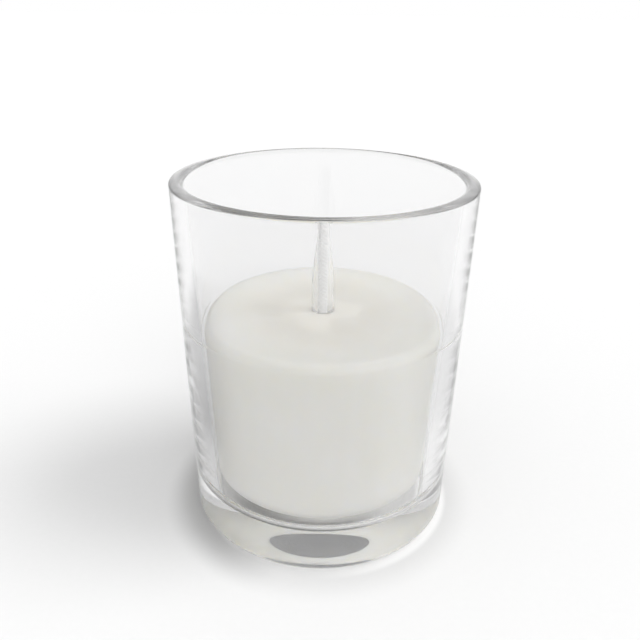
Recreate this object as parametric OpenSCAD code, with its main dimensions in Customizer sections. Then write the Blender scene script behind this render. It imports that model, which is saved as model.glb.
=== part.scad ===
// Tea light candle in a clear tapered glass holder: a heavy-bottomed pressed
// glass, a round body of white wax, and a waxed braided wick that stands in a
// crimped metal tab on the floor of the glass.
// The origin is the centre of the surface that the glass stands on, +Z is up.

/* [Glass holder] */
// Height of the glass
glass_h = 65; // [60:0.5:80]
// Outside diameter at the rim
rim_d = 52; // [50:0.5:70]
// Outside diameter at the foot, before its edge is rounded
foot_d = 49.6; // [46:0.2:50]
// Wall thickness at the rim
rim_wall = 2.4; // [1.6:0.1:3]
// Wall thickness where the wall meets the thick base
base_wall = 3.4; // [2.4:0.1:4]
// Thickness of the solid glass under the wax
floor_t = 6.9; // [5:0.1:12]
// Radius where the inside wall turns into the floor
floor_corner_r = 3.5; // [2:0.5:5]
// Radius of the rounded outside edge of the foot
foot_edge_r = 2.4; // [1:0.1:4]
// Diameter of the hollow pressed into the underside
punt_d = 39; // [30:0.5:40]
// Depth of the hollow at the centre of the underside
punt_depth = 0.4; // [0.2:0.1:2]

/* [Wax] */
// Height of the wax surface above the floor of the glass
wax_fill = 33.6; // [26:0.1:36]
// Gap that the wax leaves to the wall as it shrinks
wax_gap = 0.8; // [0.3:0.1:1.8]
// Radius of the foot edge of the wax, which draws away from the corner of the glass
wax_corner_r = 6.5; // [5:0.5:9]
// Radius of the rounded top edge of the wax
shoulder_r = 1.5; // [0.5:0.1:3]
// Depth by which the wax surface sinks towards its middle
dish_depth = 0.2; // [0.1:0.1:1]
// Radius of the small wax fillet that climbs the wick
climb_r = 0.8; // [0.3:0.1:1]

/* [Wick] */
// Diameter of the waxed braid at its tip
wick_d = 2.1; // [1.8:0.1:2.6]
// Length of wick that stands out of the wax
wick_free = 17; // [10:0.1:20]
// Diameter of the thicker wax coat where the wick leaves the wax
coat_d = 4.1; // [3.4:0.1:4.8]
// Diameter of the coat half way up its height
coat_middle_d = 3.8; // [2.6:0.1:4]
// Height over which the thicker coat tapers to the plain wick
coat_h = 14.5; // [4:0.5:15]

/* [Wick tab] */
// Diameter of the pressed metal tab that holds the wick
tab_d = 12; // [11:0.5:16]
// Sheet thickness of the tab
tab_sheet = 0.3; // [0.2:0.05:0.4]
// Height of the neck that grips the wick
neck_h = 4.5; // [4:0.5:8]
// Radius of the fillet from the disc of the tab to its neck
neck_bend_r = 0.6; // [0.4:0.1:1.2]
// Number of crimps that pinch the neck onto the wick
crimp_count = 4; // [3:1:4]
// Height of the band that the crimps take up on the neck
crimp_h = 1.8; // [1:0.2:2]

/* [Hidden] */
$fn = 144;

// Clearance between the cast wax and what it is cast around
cast_gap = 0.05;
// Clearance between the neck of the tab and the wick
neck_gap = 0.05;
// Distance by which a crimp pushes the wall of the neck inwards
crimp_depth = 0.15;
// Radius of the jaw that presses a crimp
jaw_r = 0.9;
// Overshoot of a cut past the surface that it opens
over = 1;
// Facets of the wide, shallow arcs under the foot and on the wax
wide_fn = 720;

// Outside taper of the glass, and the inside taper that its plunger leaves
rim_r = rim_d / 2;
foot_r = foot_d / 2;
outer_lean = atan((rim_r - foot_r) / glass_h);
cavity_h = glass_h - floor_t;
cavity_top_r = rim_r - rim_wall;
cavity_foot_r = foot_r + floor_t * tan(outer_lean) - base_wall;
cavity_lean = atan((cavity_top_r - cavity_foot_r) / cavity_h);
rim_edge_r = rim_wall / (2 - tan(cavity_lean) + tan(outer_lean));

// Wax sizes follow the cavity that it was poured in
wax_top = floor_t + wax_fill;
wax_middle = wax_top - dish_depth;
wax_foot_r = cavity_foot_r - wax_gap;
wax_top_r = wax_foot_r + wax_fill * tan(cavity_lean);
dish_r = wax_top_r - shoulder_r;

// The neck of the tab closes around the wick
wick_r = wick_d / 2;
coat_r = coat_d / 2;
coat_middle_r = coat_middle_d / 2;
wick_foot = floor_t + tab_sheet;
wick_tip = wax_middle + wick_free;
tab_r = tab_d / 2;
neck_in_r = wick_r + neck_gap;
neck_out_r = neck_in_r + tab_sheet;
bend_x = neck_out_r + neck_bend_r;
bend_z = tab_sheet + neck_bend_r;
jaw_x = neck_out_r - crimp_depth + jaw_r;
crimp_z = neck_h - crimp_h - tab_sheet;

// Radius of the circle through a shallow arc of given half width and rise
function arc_r(half_w, rise) = (half_w * half_w + rise * rise) / (2 * rise);

// Centre of a corner circle that touches both the floor and a leaning wall
function corner_x(wall_r, lean, r) = wall_r + r * tan(lean) - r / cos(lean);

// Half profile of a tumbler: flat foot, rounded corner and leaning side
module tumbler_profile(foot_wall_r, lean, corner_r, h) {
    x = corner_x(foot_wall_r, lean, corner_r);
    polygon([
        [0, 0],
        [x, 0],
        [x, corner_r],
        [x + corner_r * cos(lean), corner_r * (1 - sin(lean))],
        [foot_wall_r + h * tan(lean), h],
        [0, h]
    ]);
    translate([x, corner_r]) circle(r = corner_r);
}

// Turns the half of a profile that lies on the positive side of the axis
module turned() {
    rotate_extrude() intersection() {
        children();
        translate([0, -over]) square([rim_r + over, glass_h + 2 * over]);
    }
}

// Fire-polished rim, round from the outside wall to the inside wall
module rim_profile() {
    outer = rim_r - rim_edge_r * tan(outer_lean);
    translate([outer - rim_edge_r, glass_h - rim_edge_r]) circle(r = rim_edge_r);
}

module punt_profile() {
    r = arc_r(punt_d / 2, punt_depth);
    translate([0, punt_depth - r]) circle(r = r, $fn = wide_fn);
}

module glass_holder() {
    color([0.86, 0.91, 0.92, 0.4]) turned() {
        difference() {
            tumbler_profile(foot_r, outer_lean, foot_edge_r, glass_h - rim_edge_r);
            translate([0, floor_t])
                tumbler_profile(cavity_foot_r, cavity_lean, floor_corner_r, cavity_h);
            punt_profile();
        }
        rim_profile();
    }
}

// Wax as it was poured, with a rounded top edge and a surface that sank
module poured_profile() {
    side_h = wax_fill - shoulder_r;
    dish_arc = arc_r(dish_r, dish_depth);
    difference() {
        translate([0, floor_t]) {
            tumbler_profile(wax_foot_r, cavity_lean, wax_corner_r, side_h);
            translate([0, side_h - over]) square([dish_r, shoulder_r + over]);
            translate([dish_r, side_h]) circle(r = shoulder_r);
        }
        translate([0, wax_middle + dish_arc]) circle(r = dish_arc, $fn = wide_fn);
    }
}

// Wax fillet that climbs the coat of the wick
module climb_profile() {
    fillet_x = coat_r + climb_r;
    difference() {
        translate([0, wax_middle - over]) square([fillet_x, over + climb_r]);
        translate([fillet_x, wax_middle + climb_r]) circle(r = climb_r);
    }
}

// Wick with its coat, which thickens where it leaves the wax, plus a gap
module wick_profile(gap) {
    polygon([
        [0, wick_foot - gap],
        [wick_r + gap, wick_foot - gap],
        [wick_r + gap, wax_middle - climb_r],
        [coat_r + gap, wax_middle],
        [coat_middle_r + gap, wax_middle + coat_h / 2],
        [wick_r + gap, wax_middle + coat_h],
        [wick_r + gap, wick_tip - wick_r / 2],
        [wick_r / 2 + gap, wick_tip],
        [0, wick_tip]
    ]);
}

// Outside of the tab, filled down to the floor of the glass, plus a gap
module tab_pocket_profile(gap) {
    translate([0, floor_t]) {
        square([tab_r + gap, tab_sheet + gap]);
        square([neck_out_r + gap, neck_h + gap]);
        difference() {
            square([bend_x, bend_z]);
            translate([bend_x, bend_z]) circle(r = neck_bend_r - gap);
        }
    }
}

module wax_body() {
    color([0.93, 0.92, 0.89]) difference() {
        turned() {
            poured_profile();
            climb_profile();
        }
        turned() {
            wick_profile(cast_gap);
            tab_pocket_profile(cast_gap);
        }
    }
}

// Sheet of the tab: closed disc under the wick, fillet and neck
module tab_sheet_profile() {
    square([tab_r, tab_sheet]);
    translate([neck_in_r, 0]) square([tab_sheet, neck_h]);
    difference() {
        translate([neck_in_r, 0]) square([bend_x - neck_in_r, bend_z]);
        translate([bend_x, bend_z]) circle(r = neck_bend_r);
    }
}

// Places a jaw's cylinder at each crimp around the neck
module jaws(r) {
    for (i = [0 : crimp_count - 1])
        rotate(i * 360 / crimp_count)
            translate([jaw_x, 0, floor_t + crimp_z]) cylinder(r = r, h = crimp_h);
}

module wick() {
    color([0.94, 0.94, 0.95]) difference() {
        turned() wick_profile(0);
        jaws(jaw_r + tab_sheet + neck_gap);
    }
}

module wick_tab() {
    color([0.75, 0.76, 0.78]) difference() {
        union() {
            translate([0, 0, floor_t]) turned() tab_sheet_profile();
            intersection() {
                jaws(jaw_r + tab_sheet);
                translate([0, 0, floor_t]) cylinder(r = neck_in_r + tab_sheet / 2, h = neck_h);
            }
        }
        jaws(jaw_r);
    }
}

glass_holder();
wax_body();
wick();
wick_tab();
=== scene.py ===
import math

import bmesh
import bpy
from mathutils import Matrix, Vector


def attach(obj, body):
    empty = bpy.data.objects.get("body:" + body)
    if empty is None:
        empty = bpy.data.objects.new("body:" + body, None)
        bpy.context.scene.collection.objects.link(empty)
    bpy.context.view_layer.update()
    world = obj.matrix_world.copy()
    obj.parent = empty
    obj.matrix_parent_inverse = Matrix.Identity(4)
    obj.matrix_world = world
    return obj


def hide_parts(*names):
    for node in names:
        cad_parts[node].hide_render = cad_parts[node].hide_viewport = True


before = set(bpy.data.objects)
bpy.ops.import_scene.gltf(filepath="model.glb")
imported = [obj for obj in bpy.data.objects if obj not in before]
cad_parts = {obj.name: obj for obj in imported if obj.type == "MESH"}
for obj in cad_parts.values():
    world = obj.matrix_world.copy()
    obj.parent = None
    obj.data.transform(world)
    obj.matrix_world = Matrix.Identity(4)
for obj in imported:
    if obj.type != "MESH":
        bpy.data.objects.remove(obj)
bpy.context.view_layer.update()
scene = bpy.context.scene

# Sizes of the object in millimetres, the same as in the CAD source
GLASS_HEIGHT = 65.0
RIM_RADIUS = 26.0
FOOT_RADIUS = 24.8
RIM_WALL = 2.4
BASE_WALL = 3.4
FLOOR_THICKNESS = 6.9
FLOOR_CORNER = 3.5
FOOT_EDGE = 2.4
PUNT_RADIUS = 19.5
PUNT_DEPTH = 0.4
WAX_FILL = 33.6
WAX_GAP = 0.8
WAX_CORNER = 6.5
SHOULDER = 1.5
DISH_DEPTH = 0.2
COAT_FOOT = 0.8
WICK_RADIUS = 1.05
WICK_FREE = 17.0
COAT_RADIUS = 2.05
COAT_MIDDLE = 1.9
COAT_HEIGHT = 14.5
TAB_RADIUS = 6.0
TAB_SHEET = 0.3
NECK_HEIGHT = 4.5
NECK_RADIUS = 1.4
NECK_BEND = 0.6
CRIMP_DEPTH = 0.15
CAST_GAP = 0.05

# The rim as the photograph shows it: a crown that slopes outwards between two rounded corners,
# its top a little below that of the solids
RIM_DROP = 0.2
RIM_EDGE = 0.3
RIM_LIP = 0.9
RIM_SLOPE = 19.0

# The wax hardly climbs the wick in the photograph, so its fillet is smaller than in the solids
CLIMB = 0.12

# The braid inside the wax skin of the wick
BRAID_RADIUS = 0.58
THREAD_RADIUS = 0.15
WEAVE_DEPTH = 0.04
CORE_RADIUS = 0.55

# Wax left on the wall at the level that it was poured to
TIDE_HEIGHT = 39.7
TIDE_THICKNESS = 0.16
TIDE_SWEEP = 60.0
TIDE_STARTS = {"left": 170.0, "right": -50.0}

# The arcs of wax sink this far into the wall, so that no film of air hides them
TIDE_LAP = 0.07

# The wax wets the floor of the glass, so the floor laps over it by this much
WETTED = 0.02

# The slow waves of the glass and the wax begin above this height
STILL_BASE = 9.0

# Steps round the axis of the turned pieces
GLASS_STEPS = 420
WAX_STEPS = 200
COAT_STEPS = 72
CORE_STEPS = 24

# Places that follow from these sizes
OUTER_LEAN = math.atan((RIM_RADIUS - FOOT_RADIUS) / GLASS_HEIGHT)
CAVITY_FOOT = FOOT_RADIUS + FLOOR_THICKNESS * math.tan(OUTER_LEAN) - BASE_WALL
CAVITY_TOP = RIM_RADIUS - RIM_WALL
CAVITY_LEAN = math.atan((CAVITY_TOP - CAVITY_FOOT) / (GLASS_HEIGHT - FLOOR_THICKNESS))
WAX_TOP = FLOOR_THICKNESS + WAX_FILL
WAX_MIDDLE = WAX_TOP - DISH_DEPTH
WICK_FOOT = FLOOR_THICKNESS + TAB_SHEET
WICK_TIP = WAX_MIDDLE + WICK_FREE

MM = 0.001

# Stretches of a profile longer than this get a point close to each end, which keeps smooth
# shading from bleeding over a sharp corner
LONG_STRETCH = 1.0
NEAR_CORNER = 0.03


# Node trees


class Wire:
    """One output of a node. Sums and products of wires add Math nodes."""

    def __init__(self, tree, socket):
        self.tree = tree
        self.socket = socket

    def out(self, name):
        """Another output of the same node."""
        return Wire(self.tree, self.socket.node.outputs[name])

    def __add__(self, other):
        return self.tree.math("ADD", self, other)

    def __sub__(self, other):
        return self.tree.math("SUBTRACT", self, other)

    def __rsub__(self, other):
        return self.tree.math("SUBTRACT", other, self)

    def __mul__(self, other):
        return self.tree.math("MULTIPLY", self, other)

    def __truediv__(self, other):
        return self.tree.math("DIVIDE", self, other)

    __radd__ = __add__
    __rmul__ = __mul__


class Tree:
    """Adds nodes to a node tree."""

    def __init__(self, tree):
        self.tree = tree

    def add(self, kind, settings=None, sockets=None):
        """A new node: its settings go on first, then its sockets' values or links."""
        node = self.tree.nodes.new(kind)
        for name, value in (settings or {}).items():
            setattr(node, name, value)
        for name, value in (sockets or {}).items():
            if isinstance(value, Wire):
                self.tree.links.new(value.socket, node.inputs[name])
            else:
                node.inputs[name].default_value = value
        return Wire(self, node.outputs[0]) if node.outputs else None

    def math(self, operation, *values):
        """A Math node on values or wires."""
        return self.add("ShaderNodeMath", {"operation": operation}, dict(enumerate(values)))

    def whole(self, operation, *values):
        """An Integer Math node on whole numbers."""
        return self.add("FunctionNodeIntegerMath", {"operation": operation}, dict(enumerate(values)))

    def noise(self, where, scale, detail=2.0, settings=None):
        """The height of a noise pattern, from 0 to 1."""
        sockets = {"Vector": where, "Scale": scale, "Detail": detail}
        return self.add("ShaderNodeTexNoise", settings, sockets)

    def blend(self, mask, first, second):
        """The first colour where the mask is 0, and the second where it is 1."""
        return self.add("ShaderNodeMix", {"data_type": "RGBA"}, {0: mask, 6: first, 7: second}).out(2)

    def spread(self, value, low, high, to_low=0.0, to_high=1.0):
        """A value's range from low to high, taken smoothly to another range."""
        settings = {"interpolation_type": "SMOOTHSTEP"}
        sockets = {0: value, 1: low, 2: high, 3: to_low, 4: to_high}
        return self.add("ShaderNodeMapRange", settings, sockets)

    def band(self, value, edges):
        """1 between the middle two of four edges in millimetres, and 0 beyond the outer two."""
        low, full, fading, high = metres(edges)
        return self.spread(value, low, full) * self.spread(value, fading, high, 1.0, 0.0)

    def length(self, across, deep):
        """Length of a flat vector from its two parts."""
        return self.math("SQRT", across * across + deep * deep)


def grey(level):
    """A grey of that linear level."""
    return (level, level, level, 1.0)


def metres(lengths):
    """Lengths in millimetres, as metres."""
    return tuple(length * MM for length in lengths)


def shape_tree(name, inputs):
    """An empty Geometry Nodes tree with these named inputs, and its input node."""
    group = bpy.data.node_groups.new(name, "GeometryNodeTree")
    for label, kind in inputs:
        group.interface.new_socket(name=label, in_out="INPUT", socket_type=kind)
    group.interface.new_socket(name="Geometry", in_out="OUTPUT", socket_type="NodeSocketGeometry")
    tree = Tree(group)
    return tree, tree.add("NodeGroupInput")


def close_tree(tree, shape, finish):
    """Ends a Geometry Nodes tree in plain mesh with one finish."""
    smooth = tree.add("GeometryNodeSetShadeSmooth", {}, {"Geometry": shape})
    real = tree.add("GeometryNodeRealizeInstances", {}, {"Geometry": smooth})
    done = tree.add("GeometryNodeSetMaterial", {}, {"Geometry": real, "Material": finish})
    tree.add("NodeGroupOutput", {}, {"Geometry": done})
    return tree.tree


def grow(name, group, start, values):
    """Runs a Geometry Nodes tree on a start mesh, and keeps the plain mesh that comes out."""
    piece = bpy.data.objects.new(name, start)
    scene.collection.objects.link(piece)
    modifier = piece.modifiers.new(name, "NODES")
    modifier.node_group = group
    for item in group.interface.items_tree:
        if item.in_out == "INPUT" and item.name in values:
            modifier[item.identifier] = values[item.name]
    graph = bpy.context.evaluated_depsgraph_get()
    finished = bpy.data.meshes.new_from_object(piece.evaluated_get(graph), depsgraph=graph)
    piece.modifiers.remove(modifier)
    piece.data = finished
    finished.name = name
    point_outwards(finished)
    return piece


def point_outwards(mesh):
    """Merges doubles and turns every face outwards."""
    work = bmesh.new()
    work.from_mesh(mesh)
    bmesh.ops.remove_doubles(work, verts=work.verts, dist=0.0005 * MM)
    bmesh.ops.recalc_face_normals(work, faces=work.faces)
    for face in work.faces:
        face.smooth = True
    work.to_mesh(mesh)
    work.free()


# Profiles of the turned pieces, as pairs of radius and height in millimetres


def arc(centre, radius, start, end, steps):
    """Points on an arc between two angles in radians."""
    points = []
    for step in range(steps + 1):
        angle = start + (end - start) * step / steps
        points.append((centre[0] + radius * math.cos(angle), centre[1] + radius * math.sin(angle)))
    return points


def finer(points, step):
    """The same line with no stretch longer than step, and with points near sharp corners."""
    line = [points[0]]
    for last, here in zip(points, points[1:]):
        length = math.dist(last, here)
        parts = max(1, math.ceil(length / step))
        shares = [part / parts for part in range(1, parts + 1)]
        if length > LONG_STRETCH:
            shares = sorted(shares + [NEAR_CORNER / length, 1 - NEAR_CORNER / length])
        for share in shares:
            line.append(tuple(a + (b - a) * share for a, b in zip(last, here)))
    return line


def corner_centre(wall, lean, corner):
    """Radius at which a corner circle touches both the floor and a leaning wall."""
    return wall + corner * math.tan(lean) - corner / math.cos(lean)


def shallow_arc(half_width, rise, top, steps):
    """Half of a shallow arc, from its middle at the axis out to half_width. A negative rise sinks."""
    radius = (half_width**2 + rise**2) / (2 * abs(rise))
    side = 1 if rise > 0 else -1
    sweep = math.asin(half_width / radius)
    middle = side * math.pi / 2
    return arc((0, top - side * radius), radius, middle, middle - side * sweep, steps)


def cavity_radius(height):
    """Radius of the inside wall of the glass at a height."""
    return CAVITY_FOOT + (height - FLOOR_THICKNESS) * math.tan(CAVITY_LEAN)


def glass_profile():
    """Underside with its pressed hollow, rounded foot, side, sloped rim, inside wall and floor."""
    foot = corner_centre(FOOT_RADIUS, OUTER_LEAN, FOOT_EDGE)
    top = GLASS_HEIGHT - RIM_DROP
    rim = top - RIM_EDGE
    lip = top - RIM_LIP
    outside = FOOT_RADIUS + rim * math.tan(OUTER_LEAN) - RIM_EDGE / math.cos(OUTER_LEAN)
    inside = cavity_radius(lip) + RIM_LIP / math.cos(CAVITY_LEAN)
    slope = math.radians(RIM_SLOPE)
    crown = (outside - inside) / math.sin(slope)
    edge = (outside, rim - crown + crown * math.cos(slope))
    corner = corner_centre(CAVITY_FOOT, CAVITY_LEAN, FLOOR_CORNER)
    floor = FLOOR_THICKNESS + WETTED
    points = shallow_arc(PUNT_RADIUS, PUNT_DEPTH, PUNT_DEPTH, 30)
    points += arc((foot, FOOT_EDGE), FOOT_EDGE, -math.pi / 2, -OUTER_LEAN, 18)
    points += arc(edge, RIM_EDGE, -OUTER_LEAN, math.pi / 2 - slope, 10)
    points += arc((inside, rim - crown), crown + RIM_EDGE, math.pi / 2 - slope, math.pi / 2, 12)
    points += arc((inside, lip), RIM_LIP, math.pi / 2, math.pi - CAVITY_LEAN, 12)
    points += arc((corner, floor + FLOOR_CORNER), FLOOR_CORNER, -CAVITY_LEAN, -math.pi / 2, 24)
    points += [(0, floor)]
    return finer(points, 2.0)


def wax_profile():
    """Foot, side, rounded shoulder, sunk surface, climb up the wick, and pocket round the tab."""
    foot = CAVITY_FOOT - WAX_GAP
    top = foot + WAX_FILL * math.tan(CAVITY_LEAN)
    dish = top - SHOULDER
    corner = corner_centre(foot, CAVITY_LEAN, WAX_CORNER)
    shoulder_z = WAX_TOP - SHOULDER
    hollow = TAB_RADIUS + CAST_GAP
    hole = WICK_RADIUS + CAST_GAP
    neck = NECK_RADIUS + CAST_GAP
    floor = FLOOR_THICKNESS
    sheet = floor + TAB_SHEET + CAST_GAP
    surface = shallow_arc(dish, -DISH_DEPTH, WAX_MIDDLE, 24)
    climb = COAT_RADIUS + CLIMB
    points = [(hollow, floor)]
    points += arc((corner, floor + WAX_CORNER), WAX_CORNER, -math.pi / 2, -CAVITY_LEAN, 24)
    points += arc((dish, shoulder_z), SHOULDER, -CAVITY_LEAN, math.pi / 2, 14)
    points += [point for point in reversed(surface) if climb < point[0] < dish - 0.1]
    points += arc((climb, WAX_MIDDLE + CLIMB), CLIMB, -math.pi / 2, -math.pi, 8)
    points += [(COAT_RADIUS + CAST_GAP, WAX_MIDDLE), (hole, WAX_MIDDLE - COAT_FOOT)]
    points += [(hole, floor + NECK_HEIGHT + CAST_GAP), (neck, floor + NECK_HEIGHT + CAST_GAP)]
    bend = (NECK_RADIUS + NECK_BEND, floor + TAB_SHEET + NECK_BEND)
    points += arc(bend, NECK_BEND - CAST_GAP, math.pi, 1.5 * math.pi, 6)
    points += [(hollow, sheet), (hollow, floor)]
    return finer(points, 1.2)


def coat_profile():
    """Wax skin of the wick: pinched by the tab, thick where it leaves the wax, thin at its round tip."""
    pinched = WICK_RADIUS - CRIMP_DEPTH
    neck = FLOOR_THICKNESS + NECK_HEIGHT
    full_width = neck + 0.5
    round_tip = 0.7
    points = [(0, WICK_FOOT), (pinched, WICK_FOOT), (pinched, neck), (WICK_RADIUS, full_width)]
    points += [(WICK_RADIUS, WAX_MIDDLE - COAT_FOOT), (COAT_RADIUS, WAX_MIDDLE)]
    points += [(COAT_MIDDLE, WAX_MIDDLE + COAT_HEIGHT / 2), (WICK_RADIUS, WAX_MIDDLE + COAT_HEIGHT)]
    points += arc((WICK_RADIUS - round_tip, WICK_TIP - round_tip), round_tip, 0, math.pi / 2, 8)
    points += [(0, WICK_TIP)]
    return finer(points, 0.6)


def core_profile():
    """Inner threads of the braid, from the tab to just under the tip."""
    foot = WICK_FOOT + 0.1
    tip = WICK_TIP - 0.5
    return finer([(0, foot), (CORE_RADIUS, foot), (CORE_RADIUS, tip), (0, tip + 0.15)], 1.5)


# Shapes


def turned_tree():
    """Turns a profile round the axis, and gives its surface slow waves."""
    inputs = (
        ("Profile", "NodeSocketGeometry"),
        ("Steps around", "NodeSocketInt"),
        ("Wave depth", "NodeSocketFloat"),
        ("Wave scale", "NodeSocketFloat"),
        ("Wave seed", "NodeSocketFloat"),
        ("Still up to", "NodeSocketFloat"),
        ("Finish", "NodeSocketMaterial"),
    )
    tree, given = shape_tree("turned_round_the_axis", inputs)
    steps = given.out("Steps around")
    profile = given.out("Profile")
    rows = tree.add("GeometryNodeAttributeDomainSize", {"component": "MESH"}, {"Geometry": profile})
    columns = tree.whole("ADD", steps, 1)
    sheet = tree.add("GeometryNodeMeshGrid", {}, {"Vertices X": columns, "Vertices Y": rows})
    number = tree.add("GeometryNodeInputIndex")
    column = tree.whole("DIVIDE_FLOOR", number, rows)
    row = tree.whole("MODULO", number, rows)
    place = tree.add("GeometryNodeInputPosition")
    point = tree.add(
        "GeometryNodeSampleIndex",
        {"data_type": "FLOAT_VECTOR"},
        {"Geometry": profile, "Value": place, "Index": row},
    )
    parts = tree.add("ShaderNodeSeparateXYZ", {}, {0: point})
    angle = column / steps * math.tau
    across = parts * tree.math("COSINE", angle)
    deep = parts * tree.math("SINE", angle)
    ring = tree.add("ShaderNodeCombineXYZ", {}, {0: across, 1: deep, 2: parts.out("Z")})
    bent = tree.add("GeometryNodeSetPosition", {}, {"Geometry": sheet, "Position": ring})
    closed = tree.add("GeometryNodeMergeByDistance", {}, {"Geometry": bent, "Distance": 0.001 * MM})
    pattern = {"noise_dimensions": "4D"}
    wave = tree.noise(place, given.out("Wave scale"), detail=1.0, settings=pattern)
    tree.tree.links.new(given.out("Wave seed").socket, wave.socket.node.inputs["W"])
    level = tree.add("ShaderNodeSeparateXYZ", {}, {0: place}).out("Z")
    still = given.out("Still up to")
    grown = tree.spread(level, still, still + 6 * MM)
    height = (wave - 0.5) * grown * given.out("Wave depth")
    normal = tree.add("GeometryNodeInputNormal")
    offset = tree.add("ShaderNodeVectorMath", {"operation": "SCALE"}, {0: normal, "Scale": height})
    waved = tree.add("GeometryNodeSetPosition", {}, {"Geometry": closed, "Offset": offset})
    return close_tree(tree, waved, given.out("Finish"))


def line_mesh(name, points):
    """A mesh of points and edges along a profile, in metres."""
    mesh = bpy.data.meshes.new(name)
    places = [(radius * MM, 0, height * MM) for radius, height in points]
    edges = [(number, number + 1) for number in range(len(places) - 1)]
    mesh.from_pydata(places, edges, [])
    return mesh


def turned(name, group, points, steps, finish, depth=0.0, scale=60.0, seed=0.0, still=0.0):
    """A piece turned from its profile, with waves of that depth that begin above a height."""
    values = {
        "Steps around": steps,
        "Wave depth": depth * MM,
        "Wave scale": scale,
        "Wave seed": seed,
        "Still up to": still * MM,
        "Finish": finish,
    }
    return grow(name, group, line_mesh(name + "_profile", points), values)


def braid_tree():
    """Threads that wind both ways round a line and weave over and under each other."""
    inputs = (
        ("Start", "NodeSocketGeometry"),
        ("Foot", "NodeSocketFloat"),
        ("Tip", "NodeSocketFloat"),
        ("Threads each way", "NodeSocketInt"),
        ("Turns", "NodeSocketFloat"),
        ("Braid radius", "NodeSocketFloat"),
        ("Weave depth", "NodeSocketFloat"),
        ("Thread radius", "NodeSocketFloat"),
        ("Points", "NodeSocketInt"),
        ("Finish", "NodeSocketMaterial"),
    )
    tree, given = shape_tree("braided_threads", inputs)
    each_way = given.out("Threads each way")
    foot = tree.add("ShaderNodeCombineXYZ", {}, {2: given.out("Foot")})
    tip = tree.add("ShaderNodeCombineXYZ", {}, {2: given.out("Tip")})
    line = tree.add("GeometryNodeCurvePrimitiveLine", {}, {"Start": foot, "End": tip})
    fine = tree.add("GeometryNodeResampleCurve", {}, {"Curve": line, "Count": given.out("Points")})
    many = tree.add(
        "GeometryNodeDuplicateElements",
        {"domain": "SPLINE"},
        {"Geometry": fine, "Amount": each_way * 2},
    )
    kept = tree.add(
        "GeometryNodeStoreNamedAttribute",
        {"data_type": "FLOAT", "domain": "CURVE"},
        {"Geometry": many, "Name": "thread", "Value": many.out("Duplicate Index")},
    )
    thread = tree.add("GeometryNodeInputNamedAttribute", {"data_type": "FLOAT"}, {"Name": "thread"})
    way = tree.math("MODULO", thread, 2.0) * 2 - 1
    phase = tree.math("FLOOR", thread / 2 + 0.25) / each_way * math.tau
    along = tree.add("GeometryNodeSplineParameter")
    twist = along * given.out("Turns") * math.tau
    angle = way * twist + phase
    weave = way * tree.math("COSINE", twist * each_way) * given.out("Weave depth")
    radius = weave + given.out("Braid radius")
    height = tree.add("ShaderNodeSeparateXYZ", {}, {0: tree.add("GeometryNodeInputPosition")})
    ring = tree.add(
        "ShaderNodeCombineXYZ",
        {},
        {
            0: radius * tree.math("COSINE", angle),
            1: radius * tree.math("SINE", angle),
            2: height.out("Z"),
        },
    )
    wound = tree.add("GeometryNodeSetPosition", {}, {"Geometry": kept, "Position": ring})
    thread_section = tree.add(
        "GeometryNodeCurvePrimitiveCircle", {}, {"Resolution": 7, "Radius": given.out("Thread radius")}
    )
    tubes = tree.add(
        "GeometryNodeCurveToMesh",
        {},
        {"Curve": wound, "Profile Curve": thread_section, "Fill Caps": True},
    )
    return close_tree(tree, tubes, given.out("Finish"))


def tide_tree():
    """An arc of wax round the axis, thickest half way along it."""
    inputs = (
        ("Start", "NodeSocketGeometry"),
        ("Radius", "NodeSocketFloat"),
        ("Height", "NodeSocketFloat"),
        ("From", "NodeSocketFloat"),
        ("Sweep", "NodeSocketFloat"),
        ("Thickness", "NodeSocketFloat"),
        ("Finish", "NodeSocketMaterial"),
    )
    tree, given = shape_tree("wax_level_arc", inputs)
    sockets = {"Resolution": 60, "Radius": given.out("Radius")}
    sockets["Start Angle"] = given.out("From")
    sockets["Sweep Angle"] = given.out("Sweep")
    line = tree.add("GeometryNodeCurveArc", {"mode": "RADIUS"}, sockets)
    lifted = tree.add("ShaderNodeCombineXYZ", {}, {2: given.out("Height")})
    raised = tree.add("GeometryNodeTransform", {}, {"Geometry": line, "Translation": lifted})
    along = tree.add("GeometryNodeSplineParameter")
    taper = tree.math("SINE", along * math.pi) * 0.95 + 0.05
    section_sockets = {"Resolution": 10, "Radius": given.out("Thickness")}
    section = tree.add("GeometryNodeCurvePrimitiveCircle", {}, section_sockets)
    tube = tree.add(
        "GeometryNodeCurveToMesh",
        {},
        {"Curve": raised, "Profile Curve": section, "Scale": taper, "Fill Caps": True},
    )
    return close_tree(tree, tube, given.out("Finish"))


# Finishes

# What the glass lets through
GLASS_TINT = (0.94, 0.94, 0.942, 1.0)

# The wax from its clouded to its clear parts
CLOUDED_WAX = (0.95, 0.925, 0.85, 1.0)
CLEAR_WAX = (0.98, 0.96, 0.895, 1.0)

# Painted shade: share by which the surface of the wax is darker near the wick, and the radii over which
# it fades
CENTRE_SHADE = 0.13
CENTRE_SHADE_RADII = (8.0, 19.0)

# Heights on the shoulder of the wax over which that painted shade begins
CENTRE_SHADE_HEIGHTS = (WAX_TOP - 1.0, WAX_TOP - 0.4)


def finish_tree(name):
    """A new material and the tree that its nodes go into."""
    material = bpy.data.materials.new(name)
    material.use_nodes = True
    material.node_tree.nodes.clear()
    return material, Tree(material.node_tree)


def object_place(tree):
    """Object coordinates, in metres."""
    return tree.add("ShaderNodeTexCoord").out("Object")


def stretched(tree, where, scale):
    """Coordinates stretched by a Mapping node."""
    return tree.add("ShaderNodeMapping", {}, {"Vector": where, "Scale": scale})


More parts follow.
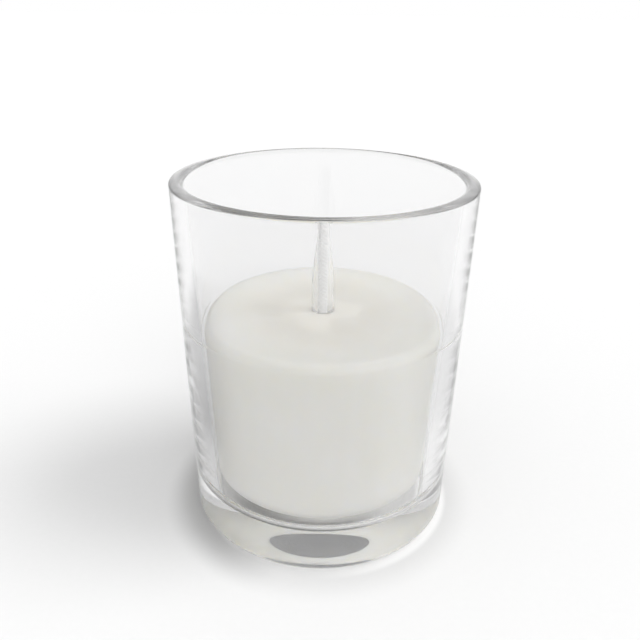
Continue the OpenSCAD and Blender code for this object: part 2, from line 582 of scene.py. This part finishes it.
def clear_glass_finish():
    """Clear pressed glass with the slow waves that the mould leaves. Lamps reach the wax through it."""
    material, tree = finish_tree("clear_pressed_glass")
    where = object_place(tree)
    slow = tree.noise(stretched(tree, where, (1.0, 1.0, 0.35)), scale=160.0, detail=1.5)
    fine = tree.noise(where, scale=700.0, detail=2.0)
    height = slow + fine * 0.12
    bump = tree.add("ShaderNodeBump", {}, {"Strength": 0.3, "Distance": 0.012 * MM, "Height": height})
    glass = tree.add(
        "ShaderNodeBsdfPrincipled",
        {},
        {
            "Base Color": GLASS_TINT,
            "Roughness": 0.0,
            "IOR": 1.51,
            "Transmission Weight": 1.0,
            "Normal": bump,
        },
    )
    through = tree.add("ShaderNodeBsdfTransparent", {}, {"Color": grey(0.97)})
    path = tree.add("ShaderNodeLightPath").out("Is Shadow Ray")
    surface = tree.add("ShaderNodeMixShader", {}, {0: path, 1: glass, 2: through})
    tree.add("ShaderNodeOutputMaterial", {}, {"Surface": surface})
    return material


def wax_finish():
    """White paraffin: faint clouding, fine frost on the side, painted shade near the wick, satin skin.
    """
    material, tree = finish_tree("poured_white_wax")
    where = object_place(tree)
    cloud = tree.noise(where, scale=70.0, detail=3.0)
    frost = tree.noise(stretched(tree, where, (1.0, 1.0, 0.25)), scale=420.0, detail=4.0)
    grain = tree.noise(where, scale=2600.0, detail=3.0)
    mask = tree.spread(cloud * 0.65 + frost * 0.35, 0.35, 0.68)
    colour = tree.blend(mask, CLOUDED_WAX, CLEAR_WAX)
    parts = tree.add("ShaderNodeSeparateXYZ", {}, {0: where})
    radius = tree.length(parts, parts.out("Y"))
    # Painted shade: the wax surface darkens towards the wick
    surface = tree.spread(parts.out("Z"), *metres(CENTRE_SHADE_HEIGHTS))
    centre_shade = tree.spread(radius, *metres(CENTRE_SHADE_RADII), CENTRE_SHADE, 0.0) * surface
    colour = tree.blend(centre_shade, colour, grey(0.0))
    rough = tree.spread(frost, 0.3, 0.7, 0.28, 0.42)
    relief = cloud * 0.8 + frost * 0.25 + grain * 0.03
    bump = tree.add("ShaderNodeBump", {}, {"Strength": 0.35, "Distance": 0.25 * MM, "Height": relief})
    wax = tree.add(
        "ShaderNodeBsdfPrincipled",
        {},
        {
            "Base Color": colour,
            "Roughness": rough,
            "IOR": 1.43,
            "Subsurface Weight": 0.8,
            "Subsurface Radius": (1.0, 0.93, 0.8),
            "Subsurface Scale": 2.5 * MM,
            "Normal": bump,
        },
    )
    tree.add("ShaderNodeOutputMaterial", {}, {"Surface": wax})
    return material


def thread_finish():
    """Cotton threads soaked in wax, with their twist."""
    material, tree = finish_tree("wax_soaked_cotton")
    where = object_place(tree)
    twist = tree.noise(stretched(tree, where, (1.0, 1.0, 0.3)), scale=5200.0, detail=3.0)
    soak = tree.noise(where, scale=420.0, detail=2.0)
    colour = tree.blend(soak, grey(0.985), grey(1.0))
    bump = tree.add("ShaderNodeBump", {}, {"Strength": 0.3, "Distance": 0.03 * MM, "Height": twist})
    cotton = tree.add(
        "ShaderNodeBsdfPrincipled",
        {},
        {
            "Base Color": colour,
            "Roughness": tree.spread(soak, 0.3, 0.7, 0.45, 0.7),
            "Normal": bump,
        },
    )
    tree.add("ShaderNodeOutputMaterial", {}, {"Surface": cotton})
    return material


def coat_finish():
    """Thin clear wax over the wick."""
    material, tree = finish_tree("clear_wax_skin")
    where = object_place(tree)
    runs = tree.noise(stretched(tree, where, (1.0, 1.0, 0.2)), scale=900.0, detail=2.0)
    bump = tree.add("ShaderNodeBump", {}, {"Strength": 0.4, "Distance": 0.12 * MM, "Height": runs})
    skin = tree.add(
        "ShaderNodeBsdfPrincipled",
        {},
        {
            "Base Color": grey(0.995),
            "Roughness": 0.14,
            "IOR": 1.18,
            "Transmission Weight": 0.75,
            "Normal": bump,
        },
    )
    through = tree.add("ShaderNodeBsdfTransparent", {}, {"Color": grey(0.99)})
    path = tree.add("ShaderNodeLightPath").out("Is Shadow Ray")
    surface = tree.add("ShaderNodeMixShader", {}, {0: path, 1: skin, 2: through})
    tree.add("ShaderNodeOutputMaterial", {}, {"Surface": surface})
    return material


def tin_finish():
    """Tin plated sheet with faint rings from the press and dull spots."""
    material, tree = finish_tree("tin_plated_sheet")
    where = object_place(tree)
    spots = tree.noise(where, scale=900.0, detail=4.0)
    parts = tree.add("ShaderNodeSeparateXYZ", {}, {0: where})
    radius = tree.length(parts, parts.out("Y"))
    rings = tree.math("SINE", radius * 9000.0 + spots * 4)
    colour = tree.blend(spots, (0.46, 0.46, 0.465, 1.0), (0.60, 0.60, 0.605, 1.0))
    bump = tree.add("ShaderNodeBump", {}, {"Strength": 0.25, "Distance": 0.02 * MM, "Height": rings})
    tin = tree.add(
        "ShaderNodeBsdfPrincipled",
        {},
        {
            "Base Color": colour,
            "Metallic": 1.0,
            "Roughness": tree.spread(spots, 0.3, 0.7, 0.32, 0.5),
            "Normal": bump,
        },
    )
    tree.add("ShaderNodeOutputMaterial", {}, {"Surface": tin})
    return material


# Studio

# The paper floor: half its width in metres, its grey, and its clearance below the glass. This and
# all other lengths of the studio are in millimetres.
FLOOR_HALF = 6.0
FLOOR_COLOUR = 0.72
FOOT_CLEARANCE = 0.03

# Light that the floor adds where it is seen, and what comes on top of it far away
FLOOR_LIFT = 0.14
FAR_LIFT = 0.03
FAR_RADII = (150, 600)

# A soft oval shadow on the left: the light added in its middle, its place, its half sizes, and
# the shares of them over which it fades
SHADE_LIFT = 0.04
SHADE_PLACE = (-30.0, 7.0)
SHADE_SIZE = (34.0, 27.0)
SHADE_REACH = (0.3, 1.6)

# Light that the glass gathers under its middle, stronger towards the right
CAUGHT_LIGHT = 0.92
CAUGHT_RADII = (8, 14)
RIGHT_SIDE = (-4, 22)

# That light as the wax gets it from below
UNDER_LIGHT = 0.45
UNDER_RADII = (20, 24)

# Painted shade: a grey ring on the floor under the foot, most of which fades on the right and at the
# back left
FOOT_SHADE = 0.32
FOOT_RING = (11, 16, 18.5, 21.5)
RING_FADE = 0.85
FADE_RIGHT = (4, 14)
FADE_LEFT = (-18, -12)
FADE_BACK = (-13, -6)

# Painted light: the bright crescent of light that the glass throws beside the foot on the right
CRESCENT_LIGHT = 0.2
CRESCENT_LIGHT_RING = (23.4, 24.4, 25.0, 26.2)

# The contact shade beside the foot: its strength on the left and the right, and where it turns
CONTACT_SHADE = (0.4, 0.13)
CONTACT_TURN = (-20, -6)
CONTACT_RING = (23.0, 24.8, 24.8, 32.0)

# Painted shade: dark patches in the floor's colour at both sides, which the camera sees only through the
# glass
SIDE_SHADE = 0.36
LEFT_SHADE_PATCH = (-130, -115, -50, -35)
RIGHT_SHADE_PATCH = (40, 55, 100, 120)
RIGHT_SHARE = 0.4
SHADE_PATCH_DEPTH = (-30, -10, 40, 70)

# Light of the world from the camera's side and from behind the object
WORLD_FRONT = 1.12
WORLD_BACK = 0.58

# What the glass shows of the world: its level on the camera's side, overhead and at both sides
FRONT_LEVEL = 0.9
ROOM_LEVEL = 0.42
SIDE_LEVEL = 0.6

# Soft round windows: their level, the cosine near their edge, and where they are
WINDOW_LEVEL = 0.6
WINDOW_EDGE = 0.93
WINDOWS = ((0.55, 0.45, 0.7), (-0.6, -0.5, 0.6))

# Each lamp's direction, as a place to shine from, its strength, and its softness in degrees
LAMPS = {
    "key_lamp": ((0.5, 0.0, 0.36), 1.25, 35),
    "front_lamp": ((0.08, -0.5, 0.31), 0.95, 50),
}


def seen_rays(tree):
    """1 for rays from the camera, from mirrors and through glass, then 1 for the camera's alone."""
    camera = tree.add("ShaderNodeLightPath")
    mirrored = tree.math("MAXIMUM", camera.out("Is Glossy Ray"), camera.out("Is Transmission Ray"))
    return tree.math("MAXIMUM", camera, mirrored), camera


def studio_floor():
    """A wide pale floor with painted shades round the foot and at its sides, and painted light where the
    glass gathers it.
    """
    material, tree = finish_tree("white_studio_paper")
    where = object_place(tree)
    tooth = tree.noise(where, scale=900.0, detail=3.0)
    across = tree.add("ShaderNodeSeparateXYZ", {}, {0: where})
    deep = across.out("Y")
    radius = tree.length(across, deep)
    seen, camera = seen_rays(tree)
    rightward = tree.spread(across, *metres(RIGHT_SIDE))

    right_part = tree.spread(across, *metres(FADE_RIGHT))
    left_part = tree.spread(across, *metres(FADE_LEFT), 1.0, 0.0) * tree.spread(deep, *metres(FADE_BACK))
    # Painted shade: the grey ring under the foot
    foot = tree.band(radius, FOOT_RING) * (1 - right_part * RING_FADE) * (1 - left_part * RING_FADE)
    # Painted shade: dark patches at both sides, left out of what the camera sees directly
    beside = tree.band(across, LEFT_SHADE_PATCH) + tree.band(across, RIGHT_SHADE_PATCH) * RIGHT_SHARE
    side_shade = beside * tree.band(deep, SHADE_PATCH_DEPTH) * (1 - camera) * SIDE_SHADE
    turning_pale = tree.spread(across, *metres(CONTACT_TURN), *CONTACT_SHADE)
    contact = tree.band(radius, CONTACT_RING) * turning_pale

    colour = tree.blend(tooth, grey(FLOOR_COLOUR - 0.01), grey(FLOOR_COLOUR + 0.01))
    colour = tree.blend(foot, colour, grey(FOOT_SHADE))
    for mask in (side_shade, contact):
        colour = tree.blend(mask, colour, grey(0.0))
    paper = tree.add("ShaderNodeBsdfDiffuse", {}, {"Color": colour})

    shade_across = (across - SHADE_PLACE[0] * MM) / (SHADE_SIZE[0] * MM)
    shade_deep = (deep - SHADE_PLACE[1] * MM) / (SHADE_SIZE[1] * MM)
    shade = tree.length(shade_across, shade_deep)
    lift = tree.spread(shade, *SHADE_REACH, SHADE_LIFT, FLOOR_LIFT)
    lift = lift + tree.spread(radius, *metres(FAR_RADII), 0.0, FAR_LIFT)
    caught = tree.spread(radius, *metres(CAUGHT_RADII), CAUGHT_LIGHT, 0.0) * (1 + rightward)
    # Painted light: a bright crescent on the floor beside the foot
    edge = tree.band(radius, CRESCENT_LIGHT_RING) * CRESCENT_LIGHT * rightward
    shown = lift * (1 - foot) * (1 - side_shade) * (1 - contact) + caught + edge
    bounced = tree.math("MINIMUM", camera.out("Diffuse Depth"), 1.0)
    under = bounced * tree.spread(radius, *metres(UNDER_RADII), UNDER_LIGHT, 0.0)
    glow = tree.add("ShaderNodeEmission", {}, {"Color": grey(1.0), "Strength": seen * shown + under})
    both = tree.add("ShaderNodeAddShader", {}, {0: paper, 1: glow})
    tree.add("ShaderNodeOutputMaterial", {}, {"Surface": both})

    mesh = bpy.data.meshes.new("studio_floor")
    level = -FOOT_CLEARANCE * MM
    signs = ((-1, -1), (1, -1), (1, 1), (-1, 1))
    corners = [(side * FLOOR_HALF, end * FLOOR_HALF, level) for side, end in signs]
    mesh.from_pydata(corners, [], [(0, 1, 2, 3)])
    mesh.materials.append(material)
    floor = bpy.data.objects.new("studio_floor", mesh)
    scene.collection.objects.link(floor)


def window(tree, direction, towards):
    """A soft round window in the world: brightest where a direction points towards it."""
    aim = Vector(towards).normalized()
    settings = {"operation": "DOT_PRODUCT"}
    facing = tree.add("ShaderNodeVectorMath", settings, {0: direction, 1: tuple(aim)}).out("Value")
    return tree.spread(facing, WINDOW_EDGE - 0.05, WINDOW_EDGE + 0.02, 0.0, WINDOW_LEVEL)


def studio_world():
    """Soft light all round, greyer from behind the camera, with a white backdrop."""
    world = bpy.data.worlds.new("studio_world")
    scene.world = world
    world.use_nodes = True
    world.node_tree.nodes.clear()
    tree = Tree(world.node_tree)
    direction = tree.add("ShaderNodeTexCoord").out("Generated")
    parts = tree.add("ShaderNodeSeparateXYZ", {}, {0: direction})
    away = parts.out("Y")
    level = tree.spread(away, -0.9, 0.5, FRONT_LEVEL, 1.0)
    soft = tree.spread(away, -0.9, 0.7, WORLD_FRONT, WORLD_BACK)
    sideways = tree.spread(tree.math("ABSOLUTE", parts), 0.4, 0.9, 1.0, SIDE_LEVEL)
    overhead = tree.spread(parts.out("Z"), 0.05, 0.4, 1.0, ROOM_LEVEL)
    first, second = (window(tree, direction, towards) for towards in WINDOWS)
    panes = first + second
    seen, camera = seen_rays(tree)
    around = tree.add("ShaderNodeBackground", {}, {"Color": grey(1.0), "Strength": soft})
    white = camera + (1 - camera) * (level * overhead * sideways + panes)
    backdrop = tree.add("ShaderNodeBackground", {}, {"Color": grey(1.0), "Strength": white})
    mixed = tree.add("ShaderNodeMixShader", {}, {0: seen, 1: around, 2: backdrop})
    tree.add("ShaderNodeOutputWorld", {}, {"Surface": mixed})


def lamp(name, place, strength, softness):
    """A soft distant lamp that shines from a place towards the foot of the object."""
    data = bpy.data.lights.new(name, "SUN")
    data.energy = strength
    data.angle = math.radians(softness)
    holder = bpy.data.objects.new(name, data)
    scene.collection.objects.link(holder)
    holder.location = place
    holder.rotation_euler = (-Vector(place)).to_track_quat("-Z", "Y").to_euler()
    holder.visible_glossy = False
    holder.visible_transmission = False


def camera():
    """The photograph's view: above the rim, looking down at the wax."""
    lens_pixels = 679.0
    frame_pixels = 640
    pitch = math.radians(24.97)
    roll = math.radians(0.78)
    yaw = math.radians(-0.23)
    place = Vector((0.0, -0.1144, 0.0912))
    level = math.cos(pitch)
    ahead = Vector((math.sin(yaw) * level, math.cos(yaw) * level, -math.sin(pitch)))
    side = Vector((math.cos(yaw), -math.sin(yaw), 0))
    above = side.cross(ahead)
    right = side * math.cos(roll) + above * math.sin(roll)
    top = above * math.cos(roll) - side * math.sin(roll)
    data = bpy.data.cameras.new("camera")
    data.sensor_width = 36.0
    data.lens = data.sensor_width * lens_pixels / frame_pixels
    data.clip_start = 0.001
    holder = bpy.data.objects.new("camera", data)
    scene.collection.objects.link(holder)
    turn = Matrix((right, top, -ahead)).transposed().to_4x4()
    holder.matrix_world = Matrix.Translation(place) @ turn
    scene.camera = holder


camera()
studio_floor()
studio_world()
for name, (place, strength, softness) in LAMPS.items():
    lamp(name, place, strength, softness)

scene.view_settings.view_transform = "Standard"
scene.cycles.use_denoising = True

# Light turns back many times inside the thick base before it leaves
scene.cycles.max_bounces = 48
scene.cycles.transmission_bounces = 48
scene.cycles.glossy_bounces = 48
scene.cycles.transparent_max_bounces = 24

# The candle

turning = turned_tree()
wax = wax_finish()
cotton = thread_finish()

waves = {"depth": 0.008, "scale": 45.0, "seed": 1.0, "still": STILL_BASE}
holder = turned("glass_tumbler", turning, glass_profile(), GLASS_STEPS, clear_glass_finish(), **waves)
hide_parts("glass_holder")

waves = {"depth": 0.05, "scale": 90.0, "seed": 2.0, "still": STILL_BASE}
body = turned("poured_wax", turning, wax_profile(), WAX_STEPS, wax, **waves)
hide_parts("wax_body")

braid_values = {
    "Foot": (WICK_FOOT + 0.05) * MM,
    "Tip": (WICK_TIP - 0.3) * MM,
    "Threads each way": 5,
    "Turns": 14.0,
    "Braid radius": BRAID_RADIUS * MM,
    "Weave depth": WEAVE_DEPTH * MM,
    "Thread radius": THREAD_RADIUS * MM,
    "Points": 420,
    "Finish": cotton,
}
braid = grow("wick_braid", braid_tree(), bpy.data.meshes.new("wick_line"), braid_values)
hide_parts("wick")

core = turned("wick_core", turning, core_profile(), CORE_STEPS, cotton)

waves = {"depth": 0.1, "scale": 400.0, "seed": 3.0, "still": WAX_MIDDLE}
coat = turned("wick_coat", turning, coat_profile(), COAT_STEPS, coat_finish(), **waves)

level_arc = tide_tree()
tide_radius = cavity_radius(TIDE_HEIGHT) - TIDE_THICKNESS + TIDE_LAP
pieces = [holder, body, braid, core, coat]
for side, start in TIDE_STARTS.items():
    values = {
        "Radius": tide_radius * MM,
        "Height": TIDE_HEIGHT * MM,
        "From": math.radians(start),
        "Sweep": math.radians(TIDE_SWEEP),
        "Thickness": TIDE_THICKNESS * MM,
        "Finish": wax,
    }
    tide = grow("wax_level_" + side, level_arc, bpy.data.meshes.new("level_line"), values)
    pieces.append(tide)

tin = tin_finish()
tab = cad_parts["wick_tab"]
for slot in tab.material_slots:
    slot.material = tin

for piece in pieces:
    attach(piece, "root")
